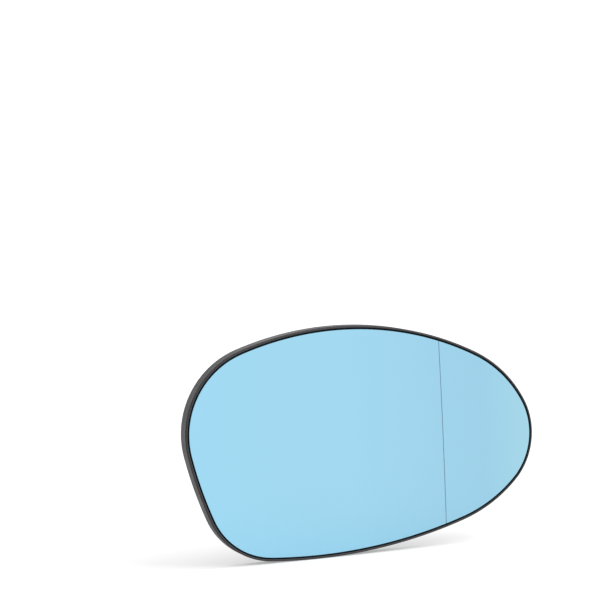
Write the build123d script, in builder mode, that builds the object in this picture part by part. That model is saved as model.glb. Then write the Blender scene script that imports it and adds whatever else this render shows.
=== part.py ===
from build123d import *
import os
from math import asin, cos, degrees, radians, sin

import numpy

# Right-hand door mirror glass in its moulded holder, in millimetres.
# It stands upright as fitted: the glass faces -Y, +X points outboard, +Z up.
# The origin is on the axis of the rear snap socket, half way along the hooks' lands.

# Holder outline, seen from the front
holder_length = 168.3
holder_height = 104.3
nose_reach = 88.0  # socket axis to the outboard end
top_reach = 52.6  # socket axis to the top
upper_outboard_radius = 58.0
inboard_radius = 176.0
corner_radius = 32.5
lower_outboard_radius = 70.5

# Directions in which the outline's normal points where each arc starts, in degrees from +X towards +Z
nose_angle = -47
upper_outboard_angle = 28
top_angle = 62
shoulder_angle = 109
inboard_angle = 192
corner_angle = 202
bottom_angle = 265
lower_outboard_angle = 287

# Mirror surface: a dome that curves faster outboard of the dividing line
main_radius = 1400.0
middle_radius = 600.0
edge_radius = 260.0
line_to_nose = 46.4  # dividing line to the holder's outboard end
middle_zone = 20.0  # width of the first aspheric zone
line_width = 0.35
line_depth = 0.12

# Glass and heater mat
glass_thickness = 2.0
glass_bevel = 0.35
glass_clearance = 0.45  # between the glass and the rim
mat_thickness = 0.5
mat_margin = 3.0  # from the glass edge to the mat

# Holder rim and floor
rim_wall = 0.95
rim_depth = 8.0  # lip to the rear edge of the skirt
lip_rise = 0.3  # lip in front of the glass
lip_height = 0.7  # lip in front of the shoulder round it
lip_bevel = 0.2
lip_inner_bevel = 0.2
shoulder_width = 0.3
skirt_wall = 1.6
skirt_bevel = 0.3
floor_thickness = 2.0

# Rear ribs
rib_wall = 1.4
rib_height = 2.4  # behind the floor
rib_count = 10
ring_rib_inset = 13.0  # holder edge to the rib that runs round with it

# Snap socket
hook_radius = 26.0  # clear radius between the hooks
hook_reach = 0.9
hook_land = 1.2
hook_lead = 1.4
finger_wall = 1.8
finger_height = 8.0  # floor to finger end, on the axis
finger_count = 6
finger_angle = 26.0  # degrees that one finger takes up
finger_bevel = 0.5
window_margin = 0.6  # floor window beyond the hook above it
seat_radius = 24.6
seat_wall = 2.2
seat_height = 1.6
collar_radius = 31.0
collar_wall = 1.6
collar_height = 4.0

# Heater terminals
terminal_x = -52.0
terminal_spacing = 10.0
blade_width = 4.8
blade_thickness = 0.8
blade_reach = 9.0  # behind the floor
blade_bevel = 0.8
blade_hole = 1.4
blade_hole_to_end = 2.4
foot_length = 5.0
bend_radius = 0.5
terminal_clearance = 1.2
guard_wall = 1.2

# Levels along the socket axis, and depths below the mirror surface
floor_back_y = -(finger_height - hook_lead - hook_land / 2)
finger_end_y = floor_back_y + finger_height
mat_back = glass_thickness + mat_thickness
floor_back = mat_back + floor_thickness
rim_back = rim_depth - lip_rise
apex_y = floor_back_y - floor_back
glass_inset = rim_wall + glass_clearance
through = 2 * (finger_height + rim_depth)  # half length of stock that passes right through


def reach(start, end, middle):
    # Reach of an arc of unit radius across the half turn centred on the direction middle
    total = 0.0
    for turn in (-360, 0, 360):
        first = max(start + turn - middle, -90)
        last = min(end + turn - middle, 90)
        if last > first:
            total += sin(radians(last)) - sin(radians(first))
    return total


def outline_arcs():
    # Eight arcs, each tangent to the next. The nose, top, shoulder and bottom take the radii
    # with which the outline closes on the holder's length and height.
    starts = [nose_angle, upper_outboard_angle, top_angle, shoulder_angle,
              inboard_angle, corner_angle, bottom_angle, lower_outboard_angle]
    ends = starts[1:] + [nose_angle + 360]
    radii = [0.0, upper_outboard_radius, 0.0, 0.0, inboard_radius, corner_radius, 0.0, lower_outboard_radius]
    solved = [k for k, radius in enumerate(radii) if radius == 0.0]

    wanted = {90: holder_length, 270: holder_length, 0: holder_height, 180: holder_height}
    reaches = numpy.array([[reach(a, b, middle) for a, b in zip(starts, ends)] for middle in wanted])
    missing = numpy.array(list(wanted.values())) - reaches @ numpy.array(radii)
    for k, radius in zip(solved, numpy.linalg.solve(reaches[:, solved], missing)):
        radii[k] = float(radius)

    centres = [Vector(0, 0)]
    for k in range(1, len(radii)):
        joint = Vector(cos(radians(starts[k])), sin(radians(starts[k])))
        centres.append(centres[-1] + joint * (radii[k - 1] - radii[k]))
    nose, top = 0, 2
    shift = Vector(nose_reach - radii[nose] - centres[nose].X, top_reach - radii[top] - centres[top].Y)
    return [(centre + shift, *arc) for centre, arc in zip(centres, zip(radii, starts, ends))]


def outline(inset):
    # Face inside the holder's outline, moved in by inset
    with BuildSketch() as face:
        with BuildLine():
            for centre, radius, start, end in outline_arcs():
                CenterArc(centre, radius - inset, start, end - start)
        make_face()
    return face.sketch


def prism(inset):
    # Holder outline, moved in by inset, carried right through along Y
    with BuildPart() as block:
        with BuildSketch(Plane.XZ):
            add(outline(inset))
        extrude(amount=through, both=True)
    return block.part


def mirror_arcs():
    # Horizontal section of the mirror surface about the dome's centre: three tangent arcs
    line_tilt = asin((nose_reach - line_to_nose) / main_radius)
    middle_tilt = asin(sin(line_tilt) + middle_zone / middle_radius)
    edge_zone = line_to_nose - middle_zone
    end_tilt = asin(sin(middle_tilt) + 2 * edge_zone / edge_radius)
    inboard_tilt = -asin(holder_length / main_radius)
    tilts = [inboard_tilt, line_tilt, middle_tilt, end_tilt]
    radii = [main_radius, middle_radius, edge_radius]

    centre = Vector(0, 0)
    arcs = []
    for k, radius in enumerate(radii):
        if k > 0:
            centre += Vector(sin(tilts[k]), -cos(tilts[k])) * (radii[k - 1] - radius)
        arcs.append((centre, radius, degrees(tilts[k]) - 90, degrees(tilts[k + 1]) - 90))
    return arcs


def layer(front, back):
    # Curved layer between two depths below the mirror surface
    half_turn = degrees(asin(holder_height / main_radius))
    dome_centre = (0, apex_y + main_radius, 0)
    with BuildPart() as shell:
        with BuildSketch(Plane(dome_centre).rotated((-half_turn, 0, 0))):
            with BuildLine():
                sides = []
                for depth in (front, back):
                    side = [CenterArc(centre, radius - depth, start, end - start)
                            for centre, radius, start, end in mirror_arcs()]
                    sides.append(side)
                Line(sides[0][0] @ 0, sides[1][0] @ 0)
                Line(sides[0][-1] @ 1, sides[1][-1] @ 1)
            make_face()
        revolve(axis=Axis(dome_centre, (1, 0, 0)), revolution_arc=2 * half_turn)
    return shell.part


def ring(inner, wall, end_y):
    # Round wall about the socket axis, rooted in the floor
    with BuildPart() as wall_ring:
        with BuildSketch(Plane.XZ.offset(-end_y)):
            Circle(inner + wall)
            Circle(inner, mode=Mode.SUBTRACT)
        extrude(amount=end_y - floor_back_y + floor_thickness / 2)
    return wall_ring.part


# Glass, with its ground edge and dividing line
with BuildPart() as dividing_line:
    with BuildSketch(Plane.XZ):
        with Locations((nose_reach - line_to_nose, 0)):
            Rectangle(line_width, 2 * holder_height)
    extrude(amount=through, both=True)
    add(layer(-lip_rise, line_depth), mode=Mode.INTERSECT)

with BuildPart() as mirror_glass:
    add(prism(glass_inset))
    add(layer(0, 2 * through), mode=Mode.INTERSECT)
    chamfer(edges(Select.NEW), glass_bevel)
    add(layer(-lip_rise, glass_thickness), mode=Mode.INTERSECT)
    add(dividing_line.part, mode=Mode.SUBTRACT)
mirror_glass.part.label = "mirror_glass"

# Heater mat, bonded to the back of the glass
with BuildPart() as heating_mat:
    add(prism(glass_inset + mat_margin))
    add(layer(glass_thickness, mat_back), mode=Mode.INTERSECT)
heating_mat.part.label = "heating_mat"

# Rear ribs: spokes from the collar to the skirt, one rib that follows the outline,
# and a guard round the terminals' window
window_width = foot_length + 2 * terminal_clearance
window_height = terminal_spacing + blade_width + 2 * terminal_clearance
window_centre = (terminal_x + (foot_length - blade_thickness) / 2, 0)
spoke_start = collar_radius + collar_wall / 2
spoke_length = holder_length / 2

with BuildPart() as ribs:
    with BuildSketch(Plane.XZ):
        add(outline(ring_rib_inset))
        add(outline(ring_rib_inset + rib_wall), mode=Mode.SUBTRACT)
        with PolarLocations(spoke_start + spoke_length / 2, rib_count, start_angle=180 / rib_count):
            Rectangle(spoke_length, rib_wall)
        with Locations(window_centre):
            Rectangle(window_width + 2 * guard_wall, window_height + 2 * guard_wall)
        add(outline(skirt_wall / 2), mode=Mode.INTERSECT)
    extrude(amount=through, both=True)
    add(layer(floor_back - floor_thickness / 2, floor_back + rib_height), mode=Mode.INTERSECT)

# One snap finger: a springy wall with a hook that leads in, holds at its land and backs off below
finger_inner = hook_radius + hook_reach
finger_outer = finger_inner + finger_wall
finger_root_y = floor_back_y - floor_thickness / 2
hook_root_y = -hook_land / 2 - hook_reach
with BuildPart() as finger:
    with BuildSketch(Plane.XY):
        with BuildLine():
            Polyline(
                (finger_inner, finger_root_y),
                (finger_inner, hook_root_y),
                (hook_radius, -hook_land / 2),
                (hook_radius, hook_land / 2),
                (finger_inner, finger_end_y),
                (finger_outer - finger_bevel, finger_end_y),
                (finger_outer, finger_end_y - finger_bevel),
                (finger_outer, finger_root_y),
                close=True,
            )
        make_face()
    revolve(axis=Axis.Y, revolution_arc=finger_angle)

# Window in the floor under one hook, a little wider than the finger, so that the hook can be moulded
window_turn = degrees(window_margin / hook_radius)
with BuildPart() as hook_window:
    with BuildSketch(Plane.XY):
        with Locations((finger_inner, hook_root_y)):
            Rectangle(hook_reach + window_margin, through, align=(Align.MAX, Align.MAX))
    revolve(axis=Axis.Y, revolution_arc=finger_angle + 2 * window_turn)

# Lip round the glass, inside the shoulder
with BuildPart() as lip:
    add(prism(shoulder_width))
    add(layer(-lip_rise, 2 * through), mode=Mode.INTERSECT)
    chamfer(edges(Select.NEW), lip_bevel)
    add(layer(-through, floor_back), mode=Mode.INTERSECT)

# Pocket for the glass and its mat, and the hollow behind the floor
with BuildPart() as pocket:
    add(prism(rim_wall))
    add(layer(-through, mat_back), mode=Mode.INTERSECT)

with BuildPart() as hollow:
    add(prism(skirt_wall))
    add(layer(floor_back, 2 * through), mode=Mode.INTERSECT)

# Holder: rim, pocket and floor, then the ribs and the socket on its back
with BuildPart() as backing_plate:
    add(prism(0))
    add(layer(lip_height - lip_rise, 2 * through), mode=Mode.INTERSECT)
    add(layer(-through, rim_back), mode=Mode.INTERSECT)
    chamfer(edges(Select.NEW), skirt_bevel)
    add(lip.part)
    add(pocket.part, mode=Mode.SUBTRACT)
    chamfer(edges(Select.NEW), lip_inner_bevel)
    add(hollow.part, mode=Mode.SUBTRACT)
    add(ribs.part)
    add(ring(collar_radius, collar_wall, floor_back_y + collar_height))
    add(ring(seat_radius - seat_wall, seat_wall, floor_back_y + seat_height))
    for k in range(finger_count):
        turn = k * 360 / finger_count
        add(finger.part.rotate(Axis.Y, turn - finger_angle / 2))
        add(hook_window.part.rotate(Axis.Y, turn - finger_angle / 2 - window_turn), mode=Mode.SUBTRACT)
    with BuildSketch(Plane.XZ):
        with Locations(window_centre):
            Rectangle(window_width, window_height)
    extrude(amount=through, both=True, mode=Mode.SUBTRACT)
backing_plate.part.label = "backing_plate"


def terminal(name, z):
    # Blade tab bent from a strip, with its foot on the back of the mat
    outer_x = terminal_x - blade_thickness / 2
    blade_end_y = floor_back_y + blade_reach
    with BuildPart() as foot:
        with BuildSketch(Plane.XZ):
            with Locations((outer_x, z)):
                Rectangle(foot_length, blade_width, align=(Align.MIN, Align.CENTER))
        extrude(amount=through, both=True)
        add(layer(mat_back, mat_back + blade_thickness), mode=Mode.INTERSECT)

    with BuildPart() as blade:
        with BuildSketch(Plane.XZ.offset(-blade_end_y)):
            with Locations((terminal_x, z)):
                Rectangle(blade_thickness, blade_width)
        extrude(amount=through)
        add(layer(mat_back, 2 * through), mode=Mode.INTERSECT)
        chamfer(faces().sort_by(Axis.Y)[-1].edges().filter_by(Axis.X), blade_bevel)
        with BuildSketch(Plane.YZ.offset(terminal_x)):
            with Locations((blade_end_y - blade_hole_to_end, z)):
                Circle(blade_hole / 2)
        extrude(amount=blade_thickness, both=True, mode=Mode.SUBTRACT)
        add(foot.part)
        outer_side, inner_side = faces().filter_by(Axis.X).sort_by(Axis.X)[:2]
        fillet(inner_side.edges().sort_by(Axis.Y)[0], bend_radius)
        outer_side = faces().filter_by(Axis.X).sort_by(Axis.X)[0]
        fillet(outer_side.edges().sort_by(Axis.Y)[0], bend_radius + blade_thickness)
    blade.part.label = name
    return blade.part


upper_terminal = terminal("heater_terminal_upper", terminal_spacing / 2)
lower_terminal = terminal("heater_terminal_lower", -terminal_spacing / 2)

os.makedirs("parts", exist_ok=True)
for piece in (mirror_glass.part, heating_mat.part, backing_plate.part, upper_terminal, lower_terminal):
    export_step(piece, f"parts/{piece.label}.step")
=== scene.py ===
from math import asin, cos, pi, radians, sin, sqrt

import bmesh
import bpy
import numpy
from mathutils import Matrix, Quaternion, Vector


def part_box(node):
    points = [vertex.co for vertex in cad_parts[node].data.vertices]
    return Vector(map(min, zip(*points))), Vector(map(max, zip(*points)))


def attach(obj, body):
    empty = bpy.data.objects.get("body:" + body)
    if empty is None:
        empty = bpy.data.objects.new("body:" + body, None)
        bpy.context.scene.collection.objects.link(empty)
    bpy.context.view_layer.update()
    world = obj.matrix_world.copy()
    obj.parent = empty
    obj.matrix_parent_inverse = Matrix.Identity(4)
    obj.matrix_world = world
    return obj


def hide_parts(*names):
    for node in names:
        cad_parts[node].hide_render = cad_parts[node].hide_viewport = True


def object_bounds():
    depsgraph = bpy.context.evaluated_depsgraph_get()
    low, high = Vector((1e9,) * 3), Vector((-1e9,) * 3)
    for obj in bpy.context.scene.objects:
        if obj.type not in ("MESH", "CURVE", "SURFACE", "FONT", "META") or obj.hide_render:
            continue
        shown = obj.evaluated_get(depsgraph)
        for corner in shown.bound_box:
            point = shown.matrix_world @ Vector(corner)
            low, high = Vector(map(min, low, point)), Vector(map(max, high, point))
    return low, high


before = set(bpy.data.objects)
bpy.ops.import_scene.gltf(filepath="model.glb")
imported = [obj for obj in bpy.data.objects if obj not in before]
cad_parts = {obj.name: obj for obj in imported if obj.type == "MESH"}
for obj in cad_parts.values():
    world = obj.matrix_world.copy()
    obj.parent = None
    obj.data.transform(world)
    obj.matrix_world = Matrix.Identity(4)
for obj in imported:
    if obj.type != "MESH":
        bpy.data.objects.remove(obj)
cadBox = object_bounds()
scene = bpy.context.scene
mm = 0.001
textureMiddle = (0.3, 0.7)  # most of a noise texture lies in this range
print("frame loaded:", ", ".join(sorted(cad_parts)))


def meshObject(name, bm, materials):
    bmesh.ops.recalc_face_normals(bm, faces=bm.faces)
    mesh = bpy.data.meshes.new(name)
    bm.to_mesh(mesh)
    bm.free()
    for material in materials:
        mesh.materials.append(material)
    piece = bpy.data.objects.new(name, mesh)
    scene.collection.objects.link(piece)
    return piece


def newMaterial(name):
    material = bpy.data.materials.new(name)
    material.use_nodes = True
    tree = material.node_tree
    return material, tree, tree.nodes["Principled BSDF"]


def addNode(tree, kind, **settings):
    node = tree.nodes.new(kind)
    for setting, value in settings.items():
        if setting in node.inputs.keys():
            node.inputs[setting].default_value = value
        else:
            setattr(node, setting, value)
    return node


def placeNode(tree):
    # coordinates that stay with the piece
    return addNode(tree, "ShaderNodeTexCoord").outputs["Object"]


def noiseNode(tree, place, size, detail=2.0):
    # noise with grains of about the given size in millimetres
    noise = addNode(tree, "ShaderNodeTexNoise", Scale=1 / (size * mm), Detail=detail)
    tree.links.new(place, noise.inputs["Vector"])
    return noise.outputs["Fac"]


def rampNode(tree, value, places, colours):
    ramp = addNode(tree, "ShaderNodeValToRGB")
    elements = ramp.color_ramp.elements
    while len(elements) < len(places):
        elements.new(0.5)
    for element, place, colour in zip(elements, places, colours):
        element.position = place
        element.color = (*colour, 1.0)
    tree.links.new(value, ramp.inputs["Fac"])
    return ramp.outputs["Color"]


def rangeNode(tree, value, start, end, low=0.0, high=1.0):
    # carries start to end of a value over to low to high
    node = addNode(tree, "ShaderNodeMapRange")
    node.inputs["From Min"].default_value = start
    node.inputs["From Max"].default_value = end
    node.inputs["To Min"].default_value = low
    node.inputs["To Max"].default_value = high
    tree.links.new(value, node.inputs["Value"])
    return node.outputs["Result"]


def linkColour(tree, shader, noise, colours):
    colour = rampNode(tree, noise, textureMiddle, colours)
    tree.links.new(colour, shader.inputs["Base Color"])


def linkRoughness(tree, shader, noise, roughness):
    spread = rangeNode(tree, noise, *textureMiddle, *roughness)
    tree.links.new(spread, shader.inputs["Roughness"])


# mirror glass, which follows the holder's outline; lengths in millimetres, angles in degrees
mirrorGlass = {
    # outline of the holder from the front: eight arcs that run into each other
    "arcStarts": [-47, 28, 62, 109, 192, 202, 265, 287],  # nose, then round by the top
    "arcRadii": [None, 58.0, None, None, 176.0, 32.5, None, 70.5],  # the open ones close it
    "inset": 1.4,  # glass edge from the holder's outline
    "thickness": 2.0,
    "bevel": 0.35,
    # dome that curves faster outboard of the dividing line
    "domeRadii": [1400.0, 600.0, 260.0],
    "middleZone": 20.0,  # width of the second radius
    "lineX": 41.6,
    "lineWidth": 0.35,
    "lineDepth": 0.12,
    # mesh
    "around": 480,
    "rings": 44,
    "sharpAngle": 30.0,
    # coating's blue, shifting from inboard to outboard; the greyer outboard end is painted
    # reflection of the surroundings
    "tintPlaces": [0.0, 0.45, 0.70, 0.85, 1.0],
    "tintsAndReflection": [
        (0.302, 0.587, 0.750),
        (0.306, 0.580, 0.732),
        (0.295, 0.550, 0.700),
        (0.290, 0.540, 0.685),
        (0.325, 0.570, 0.680),
    ],
    "roughness": (0.012, 0.03),
    "smearSize": 22.0,
    # ground edge, near black as painted shade of the gap against the holder
    "edgeShadeColours": ((0.003, 0.007, 0.010), (0.0066, 0.0154, 0.022)),
    "edgeRoughness": (0.6, 0.8),
    "edgeGrain": 0.15,
    "edgeGloss": 0.08,
    # etched dividing line
    "lineColours": ((0.092, 0.165, 0.235), (0.138, 0.2475, 0.3525)),
    "lineRoughness": (0.4, 0.7),
    "lineGrain": 0.2,
}


def arcReach(start, end, middle):
    # how far an arc of unit radius reaches across the half turn about one direction
    total = 0.0
    for turn in (-360, 0, 360):
        first = max(start + turn - middle, -90)
        last = min(end + turn - middle, 90)
        if last > first:
            total += sin(radians(last)) - sin(radians(first))
    return total


def holderArcs():
    low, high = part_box("backing_plate")
    length = (high.x - low.x) / mm
    height = (high.z - low.z) / mm
    starts = mirrorGlass["arcStarts"]
    ends = starts[1:] + [starts[0] + 360]
    radii = [radius or 0.0 for radius in mirrorGlass["arcRadii"]]

    # the open radii make each half turn as long or as high as the holder
    openOnes = [k for k, radius in enumerate(mirrorGlass["arcRadii"]) if radius is None]
    wanted = {90: length, 270: length, 0: height, 180: height}
    reaches = numpy.array([[arcReach(start, end, middle) for start, end in zip(starts, ends)]
                           for middle in wanted])
    missing = numpy.array(list(wanted.values())) - reaches @ numpy.array(radii)
    for k, radius in zip(openOnes, numpy.linalg.solve(reaches[:, openOnes], missing)):
        radii[k] = float(radius)

    centres = [Vector((0, 0))]
    for k in range(1, len(radii)):
        joint = Vector((cos(radians(starts[k])), sin(radians(starts[k]))))
        centres.append(centres[-1] + joint * (radii[k - 1] - radii[k]))
    nose, top = 0, 2
    shift = Vector((high.x / mm - radii[nose] - centres[nose].x,
                    high.z / mm - radii[top] - centres[top].y))
    return [(centre + shift, *arc) for centre, arc in zip(centres, zip(radii, starts, ends))]


def outlineSamples(count):
    # evenly spaced points round the outline, each with its outward direction
    arcs = holderArcs()
    lengths = [radius * radians(end - start) for centre, radius, start, end in arcs]
    samples = []
    for (centre, radius, start, end), length in zip(arcs, lengths):
        steps = max(2, round(count * length / sum(lengths)))
        for k in range(steps):
            angle = radians(start + (end - start) * k / steps)
            out = Vector((cos(angle), sin(angle)))
            samples.append((centre + out * radius, out))
    return samples


def domeZones():
    # the three arcs of the horizontal section: centre, radius and the tilt where each one starts
    main, middle, edge = mirrorGlass["domeRadii"]
    lineTilt = asin(mirrorGlass["lineX"] / main)
    middleTilt = asin(sin(lineTilt) + mirrorGlass["middleZone"] / middle)
    middleCentre = Vector((sin(lineTilt), -cos(lineTilt))) * (main - middle)
    edgeCentre = middleCentre + Vector((sin(middleTilt), -cos(middleTilt))) * (middle - edge)
    return [
        (Vector((0, 0)), main, None),
        (middleCentre, middle, lineTilt),
        (edgeCentre, edge, middleTilt),
    ]


zones = domeZones()
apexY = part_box("mirror_glass")[0].y / mm


def surfacePoint(x, z, depth):
    # point that lies depth under the mirror surface, in metres
    for centre, radius, tilt in zones:
        if tilt is None or x > centre.x + (radius - depth) * sin(tilt):
            reach = sqrt((radius - depth) ** 2 - (x - centre.x) ** 2) - centre.y
    y = apexY + mirrorGlass["domeRadii"][0] - sqrt(reach ** 2 - z ** 2)
    return Vector((x, y, z)) * mm


def mirrorFinish():
    material, tree, shader = newMaterial("blue_mirror_coating_and_reflection")
    place = placeNode(tree)
    along = addNode(tree, "ShaderNodeSeparateXYZ")
    tree.links.new(place, along.inputs["Vector"])
    low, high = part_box("mirror_glass")
    across = rangeNode(tree, along.outputs["X"], low.x, high.x)
    # the ramp across the glass holds the coating's blue and, at its outboard end, painted
    # reflection
    tint = rampNode(tree, across, mirrorGlass["tintPlaces"], mirrorGlass["tintsAndReflection"])
    tree.links.new(tint, shader.inputs["Base Color"])
    smears = noiseNode(tree, place, mirrorGlass["smearSize"], detail=4.0)
    linkRoughness(tree, shader, smears, mirrorGlass["roughness"])
    shader.inputs["Metallic"].default_value = 1.0
    return material


def groundEdgeFinish():
    # matt, with a near-black colour that paints the shade in the gap against the holder
    material, tree, shader = newMaterial("ground_glass_edge_painted_shade")
    grind = noiseNode(tree, placeNode(tree), mirrorGlass["edgeGrain"])
    linkColour(tree, shader, grind, mirrorGlass["edgeShadeColours"])
    linkRoughness(tree, shader, grind, mirrorGlass["edgeRoughness"])
    shader.inputs["Specular IOR Level"].default_value = mirrorGlass["edgeGloss"]
    return material


def etchedLineFinish():
    material, tree, shader = newMaterial("etched_line")
    etch = noiseNode(tree, placeNode(tree), mirrorGlass["lineGrain"])
    linkColour(tree, shader, etch, mirrorGlass["lineColours"])
    linkRoughness(tree, shader, etch, mirrorGlass["lineRoughness"])
    return material


def addFace(bm, corners, material):
    face = bm.faces.new(corners)
    face.material_index = material
    face.smooth = True


def joinRings(bm, first, second, material):
    count = len(first)
    for k in range(count):
        after = (k + 1) % count
        addFace(bm, (first[k], first[after], second[after], second[k]), material)


def cutLine(bm, mirror, line):
    # sinks a narrow strip of the front, the dividing line
    lineX = mirrorGlass["lineX"]
    half = mirrorGlass["lineWidth"] / 2
    for x in (lineX - half, lineX + half):
        faces = [f for f in bm.faces if f.material_index == mirror]
        # each edge and corner once, always in the same order
        edges = list(dict.fromkeys(e for f in faces for e in f.edges))
        verts = list(dict.fromkeys(v for f in faces for v in f.verts))
        bmesh.ops.bisect_plane(bm, geom=faces + edges + verts, dist=1e-7,
                               plane_co=(x * mm, 0, 0), plane_no=(1, 0, 0))
    strip = [f for f in bm.faces if f.material_index == mirror
             and abs(f.calc_center_median().x - lineX * mm) < half * mm]
    inStrip = set(strip)
    down = Vector((0, mirrorGlass["lineDepth"] * mm, 0))
    corners = dict.fromkeys(v for f in strip for v in f.verts)
    sunk = {v: bm.verts.new(v.co + down) for v in corners}
    for e in dict.fromkeys(e for f in strip for e in f.edges):
        if sum(f in inStrip for f in e.link_faces) == 1:
            a, b = e.verts
            addFace(bm, (a, b, sunk[b], sunk[a]), line)
    for f in strip:
        addFace(bm, [sunk[v] for v in f.verts], line)
    bmesh.ops.delete(bm, geom=strip, context="FACES")


def makeGlass():
    mirror, edge, line = 0, 1, 2
    bm = bmesh.new()
    samples = outlineSamples(mirrorGlass["around"])

    def ring(inset, depth, share=1.0):
        points = [(p - out * inset) * share for p, out in samples]
        return [bm.verts.new(surfacePoint(p.x, p.y, depth)) for p in points]

    def dish(inset, depth, material):
        # face filled by rings that shrink to the middle
        rim = outer = ring(inset, depth)
        for k in range(mirrorGlass["rings"] - 1, 0, -1):
            inner = ring(inset, depth, k / mirrorGlass["rings"])
            joinRings(bm, outer, inner, material)
            outer = inner
        middle = bm.verts.new(surfacePoint(0, 0, depth))
        for k, vert in enumerate(outer):
            addFace(bm, (vert, outer[(k + 1) % len(outer)], middle), material)
        return rim

    front = dish(mirrorGlass["inset"] + mirrorGlass["bevel"], 0.0, mirror)
    side = ring(mirrorGlass["inset"], mirrorGlass["bevel"])
    back = dish(mirrorGlass["inset"], mirrorGlass["thickness"], edge)
    joinRings(bm, front, side, edge)
    joinRings(bm, side, back, edge)
    cutLine(bm, mirror, line)
    for e in bm.edges:
        kinds = {f.material_index for f in e.link_faces}
        flat = e.calc_face_angle(0) < radians(mirrorGlass["sharpAngle"])
        e.smooth = len(kinds) == 1 and flat

    finishes = [mirrorFinish(), groundEdgeFinish(), etchedLineFinish()]
    piece = meshObject("mirror_glass_front", bm, finishes)
    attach(piece, "root")
    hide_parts("mirror_glass")
    return piece


glass = makeGlass()
print("mirror glass:", len(glass.data.polygons), "faces")

# moulded holder
holder = {
    "colours": ((0.038, 0.038, 0.041), (0.046, 0.046, 0.049)),
    "roughness": (0.40, 0.54),
    "gloss": 0.13,
    "cloudSize": 9.0,
    "grainSize": 0.26,
    "grainDepth": 0.03,
    "grainStrength": 0.6,
    "grainPlaces": (0.38, 0.62),  # from the painted shade in the grain's hollows to the full colour
    "grainHollowPaintedShade": 0.74,  # share of the colour that the hollows keep, as painted shade
    "edgeRound": 0.25,
}


def holderFinish():
    material, tree, shader = newMaterial("black_moulded_plastic")
    place = placeNode(tree)
    clouds = noiseNode(tree, place, holder["cloudSize"], detail=5.0)
    grains = noiseNode(tree, place, holder["grainSize"], detail=3.0)
    shaded, full = (holder["grainHollowPaintedShade"],) * 3, (1, 1, 1)
    # darker colour in the hollows of the grain: painted shade
    paintedHollowShade = rampNode(tree, grains, holder["grainPlaces"], (shaded, full))
    colour = addNode(tree, "ShaderNodeMix", data_type="RGBA", blend_type="MULTIPLY", Factor=1.0)
    cloudy = rampNode(tree, clouds, textureMiddle, holder["colours"])
    tree.links.new(cloudy, colour.inputs["A"])
    tree.links.new(paintedHollowShade, colour.inputs["B"])
    tree.links.new(colour.outputs["Result"], shader.inputs["Base Color"])
    linkRoughness(tree, shader, clouds, holder["roughness"])
    shader.inputs["Specular IOR Level"].default_value = holder["gloss"]
    rounded = addNode(tree, "ShaderNodeBevel", samples=6, Radius=holder["edgeRound"] * mm)
    relief = addNode(tree, "ShaderNodeBump", Strength=holder["grainStrength"],
                     Distance=holder["grainDepth"] * mm)
    tree.links.new(grains, relief.inputs["Height"])
    tree.links.new(rounded.outputs["Normal"], relief.inputs["Normal"])
    tree.links.new(relief.outputs["Normal"], shader.inputs["Normal"])
    return material


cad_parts["backing_plate"].data.materials[0] = holderFinish()
print("holder finish set")

# heater foil, seen through the windows in the holder's floor
foil = {
    "film": (0.42, 0.40, 0.36),
    "track": (0.10, 0.095, 0.09),
    "pitch": 3.2,
    "trackPlaces": (0.52, 0.58),  # soft edge of a track within one wave
    "trackHeight": 0.03,
    "trackStrength": 0.4,
    "filmGrain": 1.5,
    "roughness": (0.25, 0.45),
}


def foilFinish():
    material, tree, shader = newMaterial("heater_foil")
    place = placeNode(tree)
    unitWave = 0.314  # length of one band of a wave texture at scale 1
    tracks = addNode(tree, "ShaderNodeTexWave", wave_type="BANDS", bands_direction="Z",
                     Scale=unitWave / (foil["pitch"] * mm), Distortion=0.0)
    tree.links.new(place, tracks.inputs["Vector"])
    wave = tracks.outputs["Fac"]
    colour = rampNode(tree, wave, foil["trackPlaces"], (foil["film"], foil["track"]))
    tree.links.new(colour, shader.inputs["Base Color"])
    linkRoughness(tree, shader, noiseNode(tree, place, foil["filmGrain"]), foil["roughness"])
    raised = addNode(tree, "ShaderNodeBump", Strength=foil["trackStrength"],
                     Distance=foil["trackHeight"] * mm)
    tree.links.new(wave, raised.inputs["Height"])
    tree.links.new(raised.outputs["Normal"], shader.inputs["Normal"])
    return material


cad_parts["heating_mat"].data.materials[0] = foilFinish()

# blade terminals of the heater
terminal = {
    "colours": ((0.56, 0.53, 0.47), (0.74, 0.72, 0.67)),
    "roughness": (0.22, 0.4),
    "streakSize": 0.12,
    "streakScale": (1.0, 0.08, 1.0),  # drawn out along the blade
}


def terminalFinish():
    material, tree, shader = newMaterial("tinned_brass")
    rolled = addNode(tree, "ShaderNodeMapping", Scale=terminal["streakScale"])
    tree.links.new(placeNode(tree), rolled.inputs["Vector"])
    streaks = noiseNode(tree, rolled.outputs["Vector"], terminal["streakSize"], detail=3.0)
    linkColour(tree, shader, streaks, terminal["colours"])
    linkRoughness(tree, shader, streaks, terminal["roughness"])
    shader.inputs["Metallic"].default_value = 1.0
    return material


tinned = terminalFinish()
for name in ("heater_terminal_upper", "heater_terminal_lower"):
    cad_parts[name].data.materials[0] = tinned
print("heater finishes set")

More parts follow.
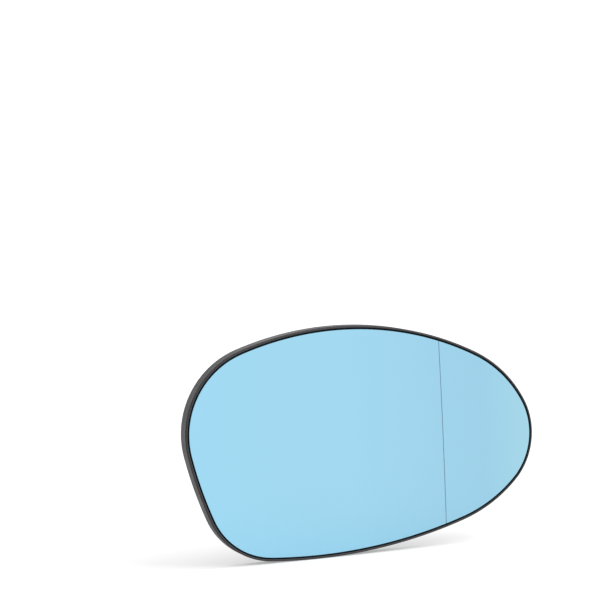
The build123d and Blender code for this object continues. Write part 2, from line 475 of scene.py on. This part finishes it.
# floor, light and camera; the camera in millimetres
studio = {
    "floorSize": 8.0,
    "floorShade": 0.46,  # the rest of the floor's white comes from below, as on a light table
    "floorRoughness": 0.9,
    "skyStrength": 1.2,
    "keyStrength": 3.2,
    "keyFrom": (1.0, -0.5, 1.0),
    "keySpread": 60.0,
    "cameraPlace": (-386.15, -1063.25, 148.3),
    "cameraTarget": (-21.05, 0.0, 64.9),
    "cameraRoll": -2.67,
    "lens": 150.0,
}


def makeFloor():
    bm = bmesh.new()
    bmesh.ops.create_grid(bm, x_segments=8, y_segments=8, size=studio["floorSize"] / 2)
    material, tree, shader = newMaterial("studio_floor")
    shade = studio["floorShade"]
    sky = studio["skyStrength"]
    key = studio["keyStrength"] * Vector(studio["keyFrom"]).normalized().z / pi
    shader.inputs["Base Color"].default_value = (shade, shade, shade, 1.0)
    shader.inputs["Roughness"].default_value = studio["floorRoughness"]
    shader.inputs["Specular IOR Level"].default_value = 0.0
    shader.inputs["Emission Color"].default_value = (1, 1, 1, 1)
    # just enough to make the floor as bright as the sky
    shader.inputs["Emission Strength"].default_value = sky - shade * (sky + key)
    floor = meshObject("studio_floor", bm, [material])
    floor.location.z = cadBox[0].z


def makeLight():
    world = bpy.data.worlds.new("studio")
    world.use_nodes = True
    scene.world = world
    sky = world.node_tree.nodes["Background"]
    sky.inputs["Color"].default_value = (1, 1, 1, 1)
    sky.inputs["Strength"].default_value = studio["skyStrength"]
    sun = bpy.data.lights.new("key_light", "SUN")
    sun.energy = studio["keyStrength"]
    sun.angle = radians(studio["keySpread"])
    key = bpy.data.objects.new("key_light", sun)
    key.rotation_mode = "QUATERNION"
    key.rotation_quaternion = Vector(studio["keyFrom"]).to_track_quat("Z", "Y")
    scene.collection.objects.link(key)
    scene.view_settings.view_transform = "Standard"


def makeCamera():
    lens = bpy.data.cameras.new("camera")
    lens.lens = studio["lens"]
    camera = bpy.data.objects.new("camera", lens)
    scene.collection.objects.link(camera)
    place = Vector(studio["cameraPlace"]) * mm
    ahead = Vector(studio["cameraTarget"]) * mm - place
    camera.location = place
    camera.rotation_mode = "QUATERNION"
    turn = ahead.to_track_quat("-Z", "Y")
    camera.rotation_quaternion = turn @ Quaternion((0, 0, 1), radians(studio["cameraRoll"]))
    scene.camera = camera


makeFloor()
makeLight()
makeCamera()
print("studio set")
